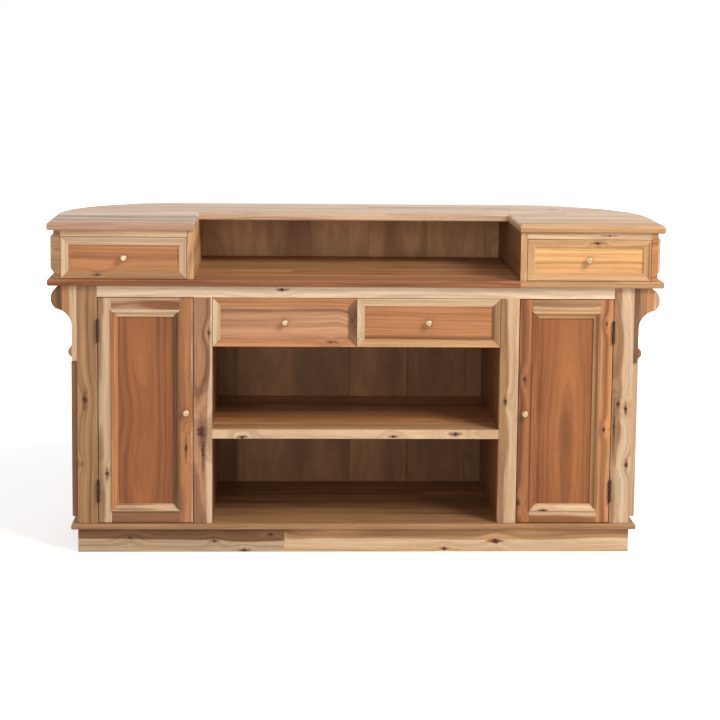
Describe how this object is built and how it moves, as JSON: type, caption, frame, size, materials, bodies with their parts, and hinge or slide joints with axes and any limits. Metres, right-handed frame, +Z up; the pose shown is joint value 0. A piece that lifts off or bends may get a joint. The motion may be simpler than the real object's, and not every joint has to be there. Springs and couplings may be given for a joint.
{
  "type": "kitchen island unit",
  "caption": "Free-standing solid-wood island with curved back, raised bar top with a notch, open shelved bay, framed cupboard doors and drawers.",
  "frame": {"origin": "middle of the bounding box, on the floor", "axes": "+X to the right as seen by the person at the doors, +Y away from them towards the curved back, +Z up"},
  "size_m": [2, 0.704, 1.09],
  "materials": {
    "frame_wood": "satin",
    "panel_wood": "satin",
    "top_wood": "satin",
    "board_wood": "satin",
    "inner_wood": "satin",
    "knob_brass": "polished",
    "hinge_iron": "satin"
  },
  "bodies": {
    "cabinet": {"plinth_front": "frame_wood", "plinth_skirt": "frame_wood", "plinth_bearers": "inner_wood", "base_board": "frame_wood", "side_walls": "frame_wood", "corner_staves": "frame_wood", "back_boards": "board_wood", "outer_stiles": "frame_wood", "inner_stiles": "frame_wood", "front_rail": "frame_wood", "divider_right": "frame_wood", "divider_left": "frame_wood", "centre_shelf": "frame_wood", "cupboard_shelves": "frame_wood", "shelf_cleats": "inner_wood", "door_stops": "inner_wood", "drawer_partition": "inner_wood", "lower_runners": "inner_wood", "upper_runners": "inner_wood", "worktop": "top_wood", "block_inner_side_right": "frame_wood", "block_inner_side_left": "frame_wood", "block_outer_side_right": "frame_wood", "block_outer_side_left": "frame_wood", "block_rails": "frame_wood", "upper_corner_staves": "frame_wood", "upper_back_wall": "frame_wood", "notch_boards": "board_wood", "top_slab": "top_wood", "side_corbels": "frame_wood", "rear_corbels": "frame_wood", "corbel_noses": "frame_wood", "pilasters": "frame_wood", "wall_fields": "frame_wood", "frieze_fields": "frame_wood", "hinge_post_leaves": "hinge_iron", "hinge_pins": "hinge_iron"},
    "door_right": {"door_frame_right": "frame_wood", "door_panel_right": "panel_wood", "door_moulding_right": "frame_wood", "door_knob_right": "knob_brass", "door_hinge_leaves_right": "hinge_iron"},
    "door_left": {"door_frame_left": "frame_wood", "door_panel_left": "panel_wood", "door_moulding_left": "frame_wood", "door_knob_left": "knob_brass", "door_hinge_leaves_left": "hinge_iron"},
    "drawer_upper_right": {"upper_drawer_front_right": "frame_wood", "upper_drawer_box_right": "inner_wood", "upper_drawer_knob_right": "knob_brass"},
    "drawer_upper_left": {"upper_drawer_front_left": "frame_wood", "upper_drawer_box_left": "inner_wood", "upper_drawer_knob_left": "knob_brass"},
    "drawer_lower_right": {"lower_drawer_front_right": "frame_wood", "lower_drawer_box_right": "inner_wood", "lower_drawer_knob_right": "knob_brass"},
    "drawer_lower_left": {"lower_drawer_front_left": "frame_wood", "lower_drawer_box_left": "inner_wood", "lower_drawer_knob_left": "knob_brass"}
  },
  "joints": [
    {"name": "door_left_hinge", "type": "hinge", "parent": "cabinet", "child": "door_left", "pos_m": [-0.84075, -0.3329, 0.2045], "axis": [0, 0, -1], "range_deg": [0, 170]},
    {"name": "door_right_hinge", "type": "hinge", "parent": "cabinet", "child": "door_right", "pos_m": [0.84075, -0.3329, 0.2045], "axis": [0, 0, 1], "range_deg": [0, 170]},
    {"name": "drawer_upper_left_slide", "type": "slide", "parent": "cabinet", "child": "drawer_upper_left", "axis": [0, -1, 0], "range_m": [0, 0.22]},
    {"name": "drawer_upper_right_slide", "type": "slide", "parent": "cabinet", "child": "drawer_upper_right", "axis": [0, -1, 0], "range_m": [0, 0.22]},
    {"name": "drawer_lower_left_slide", "type": "slide", "parent": "cabinet", "child": "drawer_lower_left", "axis": [0, -1, 0], "range_m": [0, 0.34]},
    {"name": "drawer_lower_right_slide", "type": "slide", "parent": "cabinet", "child": "drawer_lower_right", "axis": [0, -1, 0], "range_m": [0, 0.34]}
  ]
}
